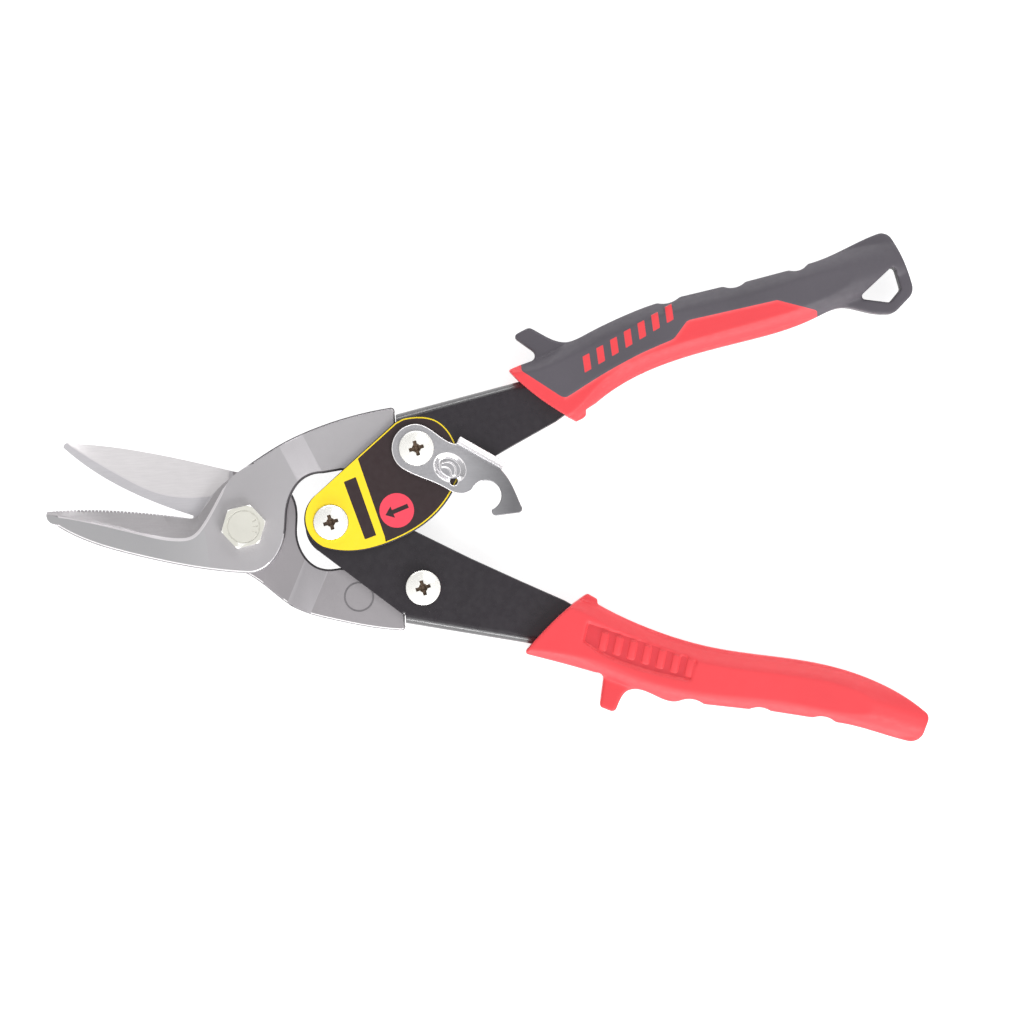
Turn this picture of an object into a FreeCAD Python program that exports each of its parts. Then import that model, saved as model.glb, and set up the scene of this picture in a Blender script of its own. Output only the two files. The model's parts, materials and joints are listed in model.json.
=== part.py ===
import FreeCAD, Part
import math
import os

# Compound-leverage aviation snips, millimetres.
# The tool lies on its back: blades toward -X, grips toward +X, +Z away from the bench.
# Everything is built round the main bolt at (0, 0) and moved to the shared origin at the end.

V = FreeCAD.Vector

# ---- driving dimensions: linkage ----
JAW_LINK = 52.6            # main bolt to either link pivot
HANDLE_LINK = 31.4         # centre pivot to either link pivot
OPEN_JAW_ANGLE = 21.6      # half angle of the jaw tails with the handles open
SQUEEZE = 36.0             # full closing travel of one handle against the other

# ---- driving dimensions: stack through the thickness ----
SHEET = 2.2                # handle stamping
GAP = 0.1                  # running gap between stacked plates
SPRING_GAP = 3.3           # clear width between the two inner cheeks
JAW_THICK = 5.4            # forged jaw
JAW_FACE = 0.05            # half the gap between the two shear faces
GRIP_HALF = 10.5           # half thickness of both grips
FLANGE_HALF = 7.0          # half thickness of their guards and ends

# ---- driving dimensions: hardware ----
BOLT_R = 3.5               # M7 main bolt
BOLT_AF = 11.0
BOLT_HOLE_R = 3.78         # rear jaw hole, loose so the opened linkage never binds
LINK_R = 3.0               # sleeves at the link pivots
LINK_HOLE_R = 3.05
SCREW_R = 1.5              # M3 screws
SCREW_HEAD_R = 4.8
SCREW_HEAD_H = 2.1
DOME_R = 10.2              # crown of the screw heads
KEEPER_R = 2.1
BUSH_R = 3.4               # sleeve the handles turn on
EYE_R = 7.4                # rounded tail end of either jaw
WIRE = 1.1                 # spring wire
COIL_R = 4.7               # mean coil radius
LEG_ANGLE = 12.0           # spring leg against the long axis

JAW_TOP = JAW_FACE + JAW_THICK
INNER = SPRING_GAP / 2
MIDDLE = INNER + SHEET + GAP
OUTER = MIDDLE + SHEET
LATCH_Z = OUTER + 0.35
LATCH_T = 1.5
HEAD_Z = LATCH_Z + LATCH_T + 0.1


def linked(jaw_angle):
    """Link pivot and centre pivot for one jaw half angle."""
    x = JAW_LINK * math.cos(math.radians(jaw_angle))
    y = JAW_LINK * math.sin(math.radians(jaw_angle))
    reach = math.sqrt(HANDLE_LINK ** 2 - y ** 2)
    return x, y, x - reach


P1X, P1Y, P3X = linked(OPEN_JAW_ANGLE)


# ---- helpers ----
def closed_wire(start, *steps):
    """Closed outline from straight, arc and smooth-curve steps."""
    edges = []
    here = V(start[0], start[1], 0)
    for kind, *points in steps:
        targets = [V(p[0], p[1], 0) for p in points]
        if kind == "line":
            for target in targets:
                edges.append(Part.makeLine(here, target))
                here = target
        elif kind == "arc":
            edges.append(Part.Arc(here, targets[0], targets[1]).toShape())
            here = targets[1]
        else:
            spline = Part.BSplineCurve()
            spline.interpolate([here] + targets)
            edges.append(spline.toShape())
            here = targets[-1]
    first = V(start[0], start[1], 0)
    if here.distanceToPoint(first) > 1e-6:
        edges.append(Part.makeLine(here, first))
    return Part.Wire(edges)


def prism(wire, low, high):
    """Solid over a flat outline between two heights."""
    face = Part.Face(wire)
    face.translate(V(0, 0, low))
    return face.extrude(V(0, 0, high - low))


def post(x, y, radius, low, high):
    return Part.makeCylinder(radius, high - low, V(x, y, low))


def cone(x, y, low_radius, high_radius, low, high):
    return Part.makeCone(low_radius, high_radius, high - low, V(x, y, low))


def ring(x, y, outer, inner, low, high):
    return post(x, y, outer, low, high).cut(post(x, y, inner, low - 1, high + 1))


def hexagon(x, y, flats, low, high, turn):
    corners = []
    for k in range(6):
        a = math.radians(turn + 60 * k)
        corners.append((x + flats / math.sqrt(3) * math.cos(a), y + flats / math.sqrt(3) * math.sin(a)))
    return prism(closed_wire(corners[0], ("line", *corners[1:])), low, high)


def around(x, y, radius, degrees):
    """Point on a circle."""
    a = math.radians(degrees)
    return x + radius * math.cos(a), y + radius * math.sin(a)


def rim_edges(shape, heights):
    """Edges lying flat at any of the given heights."""
    found = []
    for edge in shape.Edges:
        box = edge.BoundBox
        if box.ZLength < 1e-4 and min(abs(box.ZMin - h) for h in heights) < 1e-4:
            found.append(edge)
    return found


def turned(shape):
    """The same piece turned over about the long axis."""
    return shape.rotated(V(0, 0, 0), V(1, 0, 0), 180)


def one_solid(shape):
    solids = sorted(shape.removeSplitter().Solids, key=lambda s: s.Volume)
    return solids[-1]


# ---- jaws ----
# Each jaw is one forging: blade, round pivot boss and a tail that steps sideways
# so that it lands in the middle of its handle channel.
STEP_DIR = 25.3            # direction in which the tail steps, degrees
STEP_START = 19.1
STEP_END = 26.3
STEP_DROP = JAW_FACE + INNER - GAP
CREASE = (-10.6, -5.5)     # start of the blade's taper, beside the pivot boss
CREASE_TURN = 7.0
FLANK_TAPER = 1.0
EDGE_Z = 3.2               # thickness left at the cutting edge

TAIL_OUTER = ((12.0, 22.7), (23.4, 27.1), (38.4, 30.5))
TAIL_END = ((42.4, 31.0), (43.2, 29.4), (43.3, 26.6))
EYE_TOP = (P1X - 1.2, P1Y + math.sqrt(EYE_R ** 2 - 1.2 ** 2))
EYE_FAR = (P1X + EYE_R, P1Y)
EYE_LOW = (P1X - 0.9, P1Y - math.sqrt(EYE_R ** 2 - 0.9 ** 2))


def step_cutter(top):
    """Block over (or under) the stepped surface, long enough to cross the tail."""
    if top:
        section = [(-90, 30), (-90, JAW_TOP), (STEP_START, JAW_TOP), (STEP_END, JAW_TOP - STEP_DROP),
                   (90, JAW_TOP - STEP_DROP), (90, 30)]
    else:
        section = [(-90, -30), (-90, JAW_FACE), (STEP_START, JAW_FACE),
                   (STEP_END, JAW_FACE - STEP_DROP), (90, JAW_FACE - STEP_DROP), (90, -30)]
    corners = [V(s, -90, z) for s, z in section]
    block = Part.Face(Part.makePolygon(corners + [corners[0]])).extrude(V(0, 180, 0))
    return block.rotated(V(0, 0, 0), V(0, 0, 1), STEP_DIR)


def flank_cutter():
    """Wedge over the blade that thins its flank from the crease beside the pivot to the tip."""
    block = Part.makeBox(80, 120, 10, V(-80, -60, 0))
    block.rotate(V(0, 0, 0), V(0, 1, 0), -FLANK_TAPER)
    block.rotate(V(0, 0, 0), V(0, 0, 1), CREASE_TURN)
    block.translate(V(CREASE[0], CREASE[1], JAW_TOP))
    return block


def forged(outline):
    body = prism(outline, JAW_FACE - STEP_DROP, JAW_TOP)
    return body.cut(step_cutter(True)).cut(step_cutter(False)).cut(flank_cutter())


def ruled_cutter(lower, upper, outside, lower_z, upper_z, tilt=0.0):
    """Cutter with a slanted floor ruled between two curves at different heights."""
    low = closed_wire(lower[0], ("curve", *lower[1:]), ("line", outside[1], outside[0]))
    high = closed_wire(upper[0], ("curve", *upper[1:]), ("line", outside[1], outside[0]))
    low.translate(V(0, 0, lower_z))
    high.translate(V(0, 0, upper_z))
    high.rotate(V(CREASE[0], CREASE[1], upper_z), V(*around(0, 0, 1, 90 + CREASE_TURN), 0), tilt)
    return Part.makeLoft([low, high], True, True)


def front_jaw():
    outline = closed_wire(
        (-54.4, 6.7),
        ("arc", (-54.4, 4.6), (-52.6, 3.2)),
        ("curve", (-46.8, -0.4), (-30.3, -6.6), (-10.3, -11.5), (0.2, -13.0)),
        ("curve", (4.4, -12.3), (9.3, -7.8), (11.6, -1.6), (12.3, 4.2), (15.2, 10.6), (22.8, 13.7)),
        ("line", (27.6, 14.3), EYE_LOW),
        ("arc", EYE_FAR, EYE_TOP),
        ("line", TAIL_END[2], TAIL_END[1]),
        ("arc", (43.0, 30.7), TAIL_END[0]),
        ("curve", TAIL_OUTER[2], TAIL_OUTER[1], TAIL_OUTER[0], (1.7, 16.8), (-6.4, 11.1), (-11.8, 4.6)),
        ("arc", (-13.2, 3.3), (-15.0, 3.0)),
        ("curve", (-28.8, 5.3), (-42.7, 6.7), (-54.4, 6.7)),
    )
    jaw = forged(outline)
    edge = [(-56.0, 6.6), (-42.7, 6.6), (-28.8, 5.2), (-17.0, 3.0), (-13.2, 3.2), (-11.4, 4.9),
            (-6.2, 11.4), (-0.6, 16.0)]
    ridge = [(-55.5, 6.0), (-43.2, 3.6), (-28.3, -0.7), (-18.3, -2.8), (-14.4, -2.3), (-11.4, 0.5),
             (-7.0, 7.3), (-1.1, 15.4)]
    beyond = ((-56.0, 22.0), (-3.0, 22.0))
    jaw = jaw.cut(ruled_cutter(edge, ridge, beyond, EDGE_Z, JAW_TOP + 0.01, -FLANK_TAPER))
    teeth = []
    for k in range(38):
        x = -53.2 + k
        height = 6.7 - 3.6 * ((x + 54.4) / 39.4) ** 1.7
        tooth = closed_wire((x - 0.3, height + 0.4), ("line", (x + 0.3, height + 0.4), (x, height - 0.28)))
        teeth.append(prism(tooth, 0, JAW_THICK))
    jaw = jaw.cut(Part.makeCompound(teeth))
    jaw = jaw.cut(post(0, 0, BOLT_R, -5, 9))
    return one_solid(jaw.cut(post(P1X, P1Y, LINK_HOLE_R, -5, 9)))


def rear_jaw():
    # Drawn turned over, blade below the axis, then flipped into place.
    outline = closed_wire(
        (-49.2, -24.3),
        ("arc", (-48.9, -25.2), (-47.4, -25.4)),
        ("curve", (-32.2, -23.2), (-12.2, -18.3), (-1.4, -15.2)),
        ("curve", (8.0, -13.4), (13.4, -8.8), (14.9, -2.6), (14.5, 2.8), (17.0, 9.9), (25.8, 12.8)),
        ("line", (29.0, 13.1), EYE_LOW),
        ("arc", EYE_FAR, EYE_TOP),
        ("line", TAIL_END[2], TAIL_END[1]),
        ("arc", (43.0, 30.7), TAIL_END[0]),
        ("curve", TAIL_OUTER[2], TAIL_OUTER[1], TAIL_OUTER[0], (4.8, 16.6), (-0.9, 12.6)),
        ("curve", (-9.6, 9.6), (-13.7, 2.2), (-14.0, -3.7)),
        ("curve", (-22.8, -7.2), (-38.6, -15.7), (-49.2, -24.3)),
    )
    jaw = forged(outline)
    edge = [(-50.6, -23.9), (-38.6, -15.5), (-22.8, -7.0), (-15.4, -4.3), (-13.9, -1.6), (-13.2, 3.4),
            (-9.2, 10.2)]
    ridge = [(-50.0, -24.9), (-39.4, -19.4), (-24.4, -11.6), (-14.6, -7.6), (-11.4, -3.6), (-10.6, 3.0),
             (-8.6, 9.6)]
    beyond = ((-60.0, 14.0), (-12.0, 14.0))
    jaw = jaw.cut(ruled_cutter(edge, ridge, beyond, EDGE_Z, JAW_TOP + 0.01, -FLANK_TAPER))
    # Shear face, hollow ground from the land along the cutting edge to the back of the blade.
    land = [(-52.0, -28.4), (-44.3, -22.7), (-32.6, -15.0), (-24.4, -10.7), (-17.7, -9.0), (-10.0, -8.8),
            (-4.0, -9.4)]
    back = [(-51.0, -28.6), (-41.0, -25.6), (-32.2, -24.0), (-22.0, -21.4), (-12.2, -19.0), (-6.0, -17.2),
            (-1.6, -16.0)]
    jaw = jaw.cut(ruled_cutter(land, back, ((-52.0, -40.0), (-1.0, -40.0)), JAW_FACE - 0.01, JAW_FACE + 0.8))
    # Back relief that lets the outer handle cheek pass when the tool is closed.
    closed_x, closed_y, closed_centre = linked(OPEN_JAW_ANGLE - 9.78)
    swing = math.radians(9.78)
    jaw = jaw.cut(post(closed_centre * math.cos(swing), closed_centre * math.sin(swing), 10.3,
                       MIDDLE - GAP, 12))
    mark = ring(30.9, 21.0, 4.2, 3.7, -STEP_DROP + JAW_FACE - 1, -STEP_DROP + JAW_FACE + 0.15)
    jaw = jaw.cut(mark)
    jaw = jaw.cut(post(0, 0, BOLT_HOLE_R, -5, 9))
    jaw = jaw.cut(post(P1X, P1Y, LINK_HOLE_R, -5, 9))
    return turned(one_solid(jaw))


# ---- handles ----
# Both handles are the same channel pressing, turned over for the lower one; only the
# front cheek of the upper handle is left broad, and the other three run out to arms.
WEB_OUT = ((43.6, 29.0), (78.0, 36.4))
TANG_OUT = ((92.0, 40.8), (110.0, 48.0), (130.0, 53.4), (150.0, 57.4))
TANG_IN = ((151.6, 49.3), (130.0, 44.4), (112.0, 38.9), (98.0, 31.3), (88.0, 24.9))
MOUTH_IN = ((76.0, 18.9), (62.2, 11.8))


def channel_outline(inset):
    """Side outline of the channel, with the bend side moved in by one sheet when inset."""
    return closed_wire(
        (WEB_OUT[0][0] - 3 * inset, WEB_OUT[0][1] - inset * (SHEET + 0.65)),
        ("line", (WEB_OUT[1][0] + 0.45 * inset, WEB_OUT[1][1] - inset * SHEET * 1.02)),
        ("curve", *[(x + 0.6 * inset, y - inset * SHEET * 1.04) for x, y in TANG_OUT]),
        ("line", (TANG_IN[0][0] + 2 * inset, TANG_IN[0][1] - 2 * inset)),
        ("curve", *[(x + 1.2 * inset, y - 2 * inset) for x, y in TANG_IN[1:]]),
        ("line", *[(x + 1.2 * inset, y - 2 * inset) for x, y in MOUTH_IN]),
        ("line", (47.4 + 1.2 * inset, 3.6 - 2 * inset), (43.6 - 3 * inset, 12.0)),
    )


def handle_envelope():
    body = prism(channel_outline(0), -MIDDLE + GAP, OUTER)
    bends = []
    for edge in rim_edges(body, (-MIDDLE + GAP, OUTER)):
        mid = edge.valueAt((edge.FirstParameter + edge.LastParameter) / 2)
        on_web = mid.y > 30 and 44 < mid.x < 78
        on_tang = mid.x > 90 and mid.y > 47.5 and edge.Length > 40
        if on_web or on_tang:
            bends.append(edge)
    return body.makeFillet(2.6, bends)


def lobe_outline():
    """Broad front cheek of the upper handle, which carries the label."""
    return closed_wire(
        (43.6, 29.0),
        ("line", (43.3, 26.9), (20.6, 8.0)),
        ("arc", (16.8, 0.8), (21.8, -7.1)),
        ("curve", (30.8, -8.4), (41.0, -6.2), (51.2, -1.0), (58.4, 6.8)),
        ("line", (62.2, 11.8), (60.0, 31.0)),
    )


def arm_outline():
    """Narrow arm that each of the other three cheeks runs out to."""
    return closed_wire(
        (43.6, 29.0),
        ("line", (43.3, 26.9), (20.6, 8.0)),
        ("arc", (17.1, 0.5), (27.5, -6.4)),
        ("line", (47.4, 3.6), (62.2, 11.8), (60.0, 31.0)),
    )


def handle(outer_cheek):
    """Channel stamping with its tang; the outer cheek laps over the other handle's inner one."""
    body = handle_envelope().cut(prism(channel_outline(1), -INNER, MIDDLE))
    web_skim = prism(closed_wire((43.0, 26.0), ("line", (62.0, 30.07), (62.0, 34.0), (43.0, 30.0))), -9, 9)
    for outline, low, high in ((outer_cheek, MIDDLE, OUTER), (arm_outline(), -MIDDLE + GAP, -INNER)):
        body = body.fuse(prism(outline, low, high).cut(web_skim))
    return body.cut(post(P1X, P1Y, LINK_R, -9, 9))


def upper_handle():
    return one_solid(handle(lobe_outline()).cut(post(P3X, 0, BUSH_R, -9, 9)))


def lower_handle():
    return one_solid(turned(handle(arm_outline())).cut(post(P3X, 0, BUSH_R + 0.05, -9, 9)))


# ---- latch ----
# Drawn along its own axis, from the link pivot towards the hook, then swung into place.
LATCH_ANGLE = -36.3
NOTCH = (23.4, -0.25, 4.15)
FOLD = (8.5, 7.0)          # start of the thumb tab's fold line
FOLD_TURN = 3.9
TAB_LENGTH = 14.4


def thumb_tab():
    """Strip folded up along the latch's outer edge."""
    section = closed_wire(
        (-0.8, 0),
        ("line", (0.2, 0)),
        ("arc", (1.5, 0.5), (2.0, 1.8)),
        ("line", (2.5, 4.6), (1.1, 4.8), (0.5, 2.1)),
        ("arc", (0.3, 1.65), (-0.1, LATCH_T)),
        ("line", (-0.8, LATCH_T)),
    )
    tab = Part.Face(section).extrude(V(0, 0, TAB_LENGTH))
    tab.rotate(V(0, 0, 0), V(1, 1, 1), 120)
    tab.rotate(V(0, 0, 0), V(0, 0, 1), FOLD_TURN)
    tab.translate(V(FOLD[0], FOLD[1], 0))
    return tab


def oval(major, minor, z):
    wire = Part.Wire(Part.Ellipse(V(0, 0, 0), major, minor).toShape())
    wire.translate(V(10.7, 0.6, z))
    return wire


def latch():
    blank = closed_wire(
        (-4.0, 5.4),
        ("curve", (-1.0, 6.4), (2.4, 6.4), (8.4, 6.95)),
        ("line", (22.9, 7.95)),
        ("curve", (27.1, 6.4), (30.3, 4.5), (33.0, 2.7)),
        ("arc", (33.9, 1.7), (33.5, 0.7)),
        ("line", (28.9, -3.3)),
        ("arc", (27.8, -3.6), (27.0, -3.0)),
        ("line", around(*NOTCH, -35)),
        ("arc", around(*NOTCH, 80), around(*NOTCH, 190)),
        ("curve", (18.6, -2.6), (16.2, -4.3), (13.6, -4.7), (9.9, -5.1), (4.7, -6.2), (0.8, -6.8)),
        ("arc", (-6.8, 0.4), (-4.0, 5.4)),
    )
    bean = closed_wire(
        (8.4, 0.7),
        ("arc", (10.6, 1.9), (12.7, 0.4)),
        ("arc", (12.9, -0.6), (12.0, -0.9)),
        ("arc", (10.4, 0.2), (8.9, -0.5)),
        ("arc", (8.0, -0.1), (8.4, 0.7)),
    )
    body = prism(blank, 0, LATCH_T).fuse(thumb_tab())
    body = body.cut(Part.makeLoft([oval(3.4, 2.5, 0.6), oval(4.6, 3.7, LATCH_T + 0.01)], True, True))
    body = body.fuse(prism(bean, 0.5, 1.25))
    body = body.cut(post(0, 0, LINK_HOLE_R, -1, 3))
    body = body.cut(post(13.8, -2.0, 1.05, -1, 3))
    body.rotate(V(0, 0, 0), V(0, 0, 1), LATCH_ANGLE)
    body.translate(V(P1X, P1Y, LATCH_Z))
    return one_solid(body)


# ---- hardware ----
def pivot_bolt():
    low = JAW_TOP
    high = low + 4.4
    head = hexagon(0, 0, BOLT_AF, low, high, 11).common(cone(0, 0, 12.2, 5.6, low, high + 0.2))
    marks = [ring(0, 0, 4.6, 4.3, high - 0.15, high + 1)]
    for turn in (-26, 0, 26):
        tick = Part.makeBox(1.2, 0.26, 1, V(2.8, -0.13, high - 0.15))
        tick.rotate(V(0, 0, 0), V(0, 0, 1), turn)
        marks.append(tick)
    shank = post(0, 0, BOLT_R, -GRIP_HALF + 0.5, low)
    point = cone(0, 0, BOLT_R - 0.5, BOLT_R, -GRIP_HALF, -GRIP_HALF + 0.5)
    return head.cut(marks).fuse(shank).fuse(point)


def pan_head(x, y, base, shank_low):
    """Cross-recess screw with its crowned head sitting on the given height."""
    top = base + SCREW_HEAD_H
    head = post(x, y, SCREW_HEAD_R, base, top).common(Part.makeSphere(DOME_R, V(x, y, top - DOME_R)))
    for turn in (14, 104):
        slot = Part.makeBox(4.2, 1.0, 2, V(x - 2.1, y - 0.5, base + 0.9))
        slot.rotate(V(x, y, 0), V(0, 0, 1), turn)
        head = head.cut(slot)
    head = head.cut(cone(x, y, 0.5, 1.3, base + 0.5, top + 0.1))
    return head.fuse(post(x, y, SCREW_R, shank_low, base + 0.3))


def upper_link_sleeve():
    body = post(P1X, P1Y, LINK_R, -MIDDLE + GAP, HEAD_Z)
    return body.cut(post(P1X, P1Y, SCREW_R, -MIDDLE, HEAD_Z + 1))


def lower_link_sleeve():
    body = post(P1X, -P1Y, LINK_R, -OUTER, MIDDLE - GAP)
    body = body.fuse(post(P1X, -P1Y, 4.8, -OUTER - 1.8, -OUTER))
    body = body.makeFillet(1.0, rim_edges(body, (-OUTER - 1.8,)))
    return body.cut(post(P1X, -P1Y, SCREW_R, -OUTER - 3, MIDDLE))


def centre_sleeve():
    body = post(P3X, 0, BUSH_R, -OUTER, OUTER)
    body = body.fuse(post(P3X, 0, 5.2, -OUTER - 1.8, -OUTER))
    body = body.makeFillet(1.0, rim_edges(body, (-OUTER - 1.8,)))
    return body.cut(post(P3X, 0, SCREW_R, -OUTER - 3, OUTER + 1))


def wire_run(a, b):
    return Part.makeCylinder(WIRE / 2, a.distanceToPoint(b), a, b.sub(a))


def return_spring():
    # Torsion spring in the clear space between the inner cheeks; a leg bears on each web.
    rise = INNER - 0.15 - WIRE / 2
    first = math.radians(90 + LEG_ANGLE)
    sweep = 4 * math.pi - 2 * first
    helix = Part.makeHelix(2 * rise / (sweep / (2 * math.pi)), 2 * rise, COIL_R)
    disc = Part.Wire(Part.makeCircle(WIRE / 2, V(COIL_R, 0, 0), V(0, 1, 0)))
    coil = Part.Wire(helix.Edges).makePipeShell([disc], True, True)
    coil.translate(V(0, 0, -rise))
    coil.rotate(V(0, 0, 0), V(0, 0, 1), -90 - LEG_ANGLE)
    root = V(COIL_R * math.cos(first), COIL_R * math.sin(first), rise)
    along = math.radians(LEG_ANGLE)
    elbow = root + V(38 * math.cos(along), 38 * math.sin(along), 0)
    rest = elbow + V(18.4, 19.6, 0)
    legs = []
    for side in (1, -1):
        points = [V(p.x, p.y * side, p.z * side) for p in (root, elbow, rest)]
        legs.append(wire_run(points[0], points[1]))
        legs.append(wire_run(points[1], points[2]))
        legs.append(Part.makeSphere(WIRE / 2, points[1]))
        legs.append(Part.makeSphere(WIRE / 2, points[0]))
    body = coil.fuse(legs)
    body.translate(V(P3X, 0, 0))
    return one_solid(body)


# ---- label ----
def front_label():
    outline = closed_wire(
        (43.4, 26.6),
        ("line", (20.9, 8.1)),
        ("arc", (17.2, 0.8), (22.0, -6.7)),
        ("curve", (30.8, -8.0), (41.0, -5.8), (50.9, -0.7), (57.9, 6.9)),
        ("line", (60.6, 11.6)),
        ("curve", (60.2, 17.5), (58.2, 23.2), (54.6, 26.8), (49.5, 28.0), (45.4, 27.6)),
    )
    sheet = prism(outline, OUTER, OUTER + 0.16)
    sheet = sheet.cut(post(P3X, 0, SCREW_HEAD_R + 0.1, OUTER - 1, OUTER + 1))
    return sheet.cut(post(P1X, P1Y, 4.6, OUTER - 1, OUTER + 1))


# ---- grips ----
def scallop(points):
    """Finger notch: short arc between two points of a grip's back."""
    return ("arc", points[0], points[1])


def upper_grip_outline():
    return closed_wire(
        (93.6, 24.6),
        ("curve", (89.4, 27.3), (82.6, 32.4), (75.4, 39.7)),
        ("line", (78.5, 40.9), (81.4, 41.8)),
        ("arc", (82.9, 43.1), (82.4, 44.7)),
        ("line", (78.3, 47.9)),
        ("arc", (77.7, 48.9), (78.4, 49.8)),
        ("line", (81.0, 51.0)),
        ("arc", (81.9, 51.1), (82.8, 50.7)),
        ("line", (86.3, 48.5)),
        ("curve", (89.3, 47.1), (91.6, 46.7), (94.4, 47.3), (97.5, 48.7), (107.0, 52.8), (117.5, 56.3)),
        scallop(((120.4, 56.1), (123.8, 57.7))),
        ("line", (136.0, 60.0)),
        scallop(((139.0, 59.5), (142.2, 61.0))),
        ("line", (154.4, 63.6)),
        scallop(((157.2, 63.4), (159.8, 65.1))),
        ("curve", (168.4, 68.0), (175.1, 70.9), (179.2, 72.4)),
        ("arc", (181.6, 72.4), (183.4, 70.8)),
        ("curve", (186.4, 64.6), (188.5, 57.6)),
        ("arc", (188.3, 55.8), (187.2, 54.2)),
        ("line", (183.8, 51.0)),
        ("arc", (182.5, 50.3), (180.8, 50.2)),
        ("curve", (174.2, 51.4), (168.7, 52.6), (161.6, 50.3), (140.1, 44.4), (118.6, 39.3), (99.2, 29.4)),
        ("line", (96.2, 27.7)),
        ("arc", (96.4, 26.6), (95.4, 25.4)),
    )


def loop_hole():
    hole = closed_wire((174.2, 55.7), ("line", (183.0, 63.2), (183.9, 62.6), (185.2, 56.8), (182.0, 53.3),
                                       (174.5, 54.6)))
    body = prism(hole, -15, 15)
    uprights = [e for e in body.Edges if e.BoundBox.ZLength > 20]
    return body.makeFillet(0.6, uprights)


CROWN_R = 7.0


def cross_section(x, y, heading, half, thick):
    """Rounded rectangle standing square across the grip."""
    r = CROWN_R
    wide = half - r
    tall = thick - r
    k = r * math.sqrt(0.5)
    lines = [((wide, thick), (-wide, thick)), ((-half, tall), (-half, -tall)),
             ((-wide, -thick), (wide, -thick)), ((half, -tall), (half, tall))]
    mids = [(-wide - k, tall + k), (-wide - k, -tall - k), (wide + k, -tall - k), (wide + k, tall + k)]
    edges = []
    for side in range(4):
        first, last = lines[side]
        following = lines[(side + 1) % 4][0]
        edges.append(Part.makeLine(V(0, first[0], first[1]), V(0, last[0], last[1])))
        edges.append(Part.Arc(V(0, last[0], last[1]), V(0, mids[side][0], mids[side][1]),
                              V(0, following[0], following[1])).toShape())
    wire = Part.Wire(edges)
    wire.rotate(V(0, 0, 0), V(0, 0, 1), heading)
    wire.translate(V(x, y, 0))
    return wire


def hand_filling(stations):
    """Thick rounded body of a grip, lofted through its stations."""
    return Part.makeLoft([cross_section(*station) for station in stations], True, False)


def grip_body(outline, stations):
    """Rounded hand part plus the thinner guard, stop flange and end that stand out from it."""
    thick = prism(outline, -GRIP_HALF, GRIP_HALF).common(hand_filling(stations))
    thin = prism(outline, -FLANGE_HALF, FLANGE_HALF)
    return thick.fuse(thin)


def black_region():
    return prism(closed_wire(
        (78.9, 41.6),
        ("line", (79.1, 39.3), (90.6, 31.2), (102.1, 37.7), (113.0, 42.9), (121.6, 46.0), (125.6, 51.0),
         (150.7, 55.4), (161.6, 52.0), (162.0, 40.0), (205.0, 40.0), (205.0, 90.0), (60.0, 90.0),
         (60.0, 41.6)),
    ), -20, 20)


def slanted_bars():
    bars = []
    for k in range(7):
        x = 96.5 + 3.9 * k
        y = 37.9 + 2.1 * k
        bar = closed_wire((x, y), ("line", (x + 1.9, y + 1.0), (x + 1.5, y + 5.4), (x - 0.4, y + 4.5)))
        bars.append(prism(bar, GRIP_HALF - 2.5, GRIP_HALF))
    return Part.makeCompound(bars)


def core_inner():
    """Part of the red core that runs on under the black overmould."""
    return prism(closed_wire(
        (82.0, 36.5),
        ("curve", (94.0, 43.6), (110.0, 50.2), (130.0, 55.8), (152.0, 60.2)),
        ("line", (155.0, 52.0), (130.0, 44.0), (100.0, 33.0)),
    ), -8.0, 8.0)


def upper_grip():
    whole = grip_body(upper_grip_outline(), (
        (78.0, 33.5, 34, 10.2, 10.8), (97.0, 38.9, 25, 9.6, 11.0), (111.5, 46.2, 22, 8.6, 11.0),
        (130.0, 50.9, 15, 8.3, 11.0), (150.0, 55.2, 15, 8.0, 11.0), (165.0, 59.4, 20, 7.8, 11.0),
        (178.0, 63.6, 20, 7.8, 9.5), (190.0, 66.0, 20, 7.8, 7.5)))
    whole = whole.cut(loop_hole())
    tang = handle_envelope()
    cover = whole.common(black_region())
    base = whole.cut(black_region()).common(Part.makeBox(300, 300, 20.4, V(0, -100, -10.2)))
    inner = core_inner().common(whole)
    bars = slanted_bars()
    core = base.fuse(inner).fuse(bars).cut(tang)
    cover = cover.cut(inner).cut(bars).cut(tang)
    return one_solid(core), one_solid(cover)


def lower_grip_outline():
    return closed_wire(
        (94.3, -23.2),
        ("curve", (90.8, -25.4), (83.0, -31.7), (76.7, -38.0)),
        ("arc", (76.4, -38.6), (76.9, -39.2)),
        ("curve", (87.8, -42.6), (95.6, -45.2)),
        ("arc", (97.3, -46.0), (97.5, -47.5)),
        ("line", (96.3, -53.9)),
        ("arc", (96.4, -54.7), (97.1, -55.1)),
        ("line", (99.3, -56.1)),
        ("arc", (100.2, -56.0), (100.8, -55.3)),
        ("curve", (102.4, -52.2), (103.8, -50.8), (105.6, -50.3), (110.0, -51.5), (118.8, -54.0)),
        scallop(((121.6, -53.8), (125.0, -55.4))),
        ("line", (137.5, -57.4)),
        scallop(((140.4, -57.0), (143.4, -58.2))),
        ("line", (155.0, -60.6)),
        scallop(((158.4, -60.5), (161.3, -62.2))),
        ("curve", (168.6, -64.1), (177.0, -67.1), (181.4, -68.5)),
        ("arc", (184.0, -68.0), (185.4, -66.6)),
        ("line", (186.9, -63.2)),
        ("arc", (187.0, -61.6), (185.9, -60.2)),
        ("curve", (181.0, -56.2), (173.5, -51.7), (156.8, -45.6), (129.4, -40.2), (108.5, -32.6),
         (96.9, -26.2)),
        ("line", (97.0, -24.9)),
    )


PANEL_DEPTH = 0.8


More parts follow.
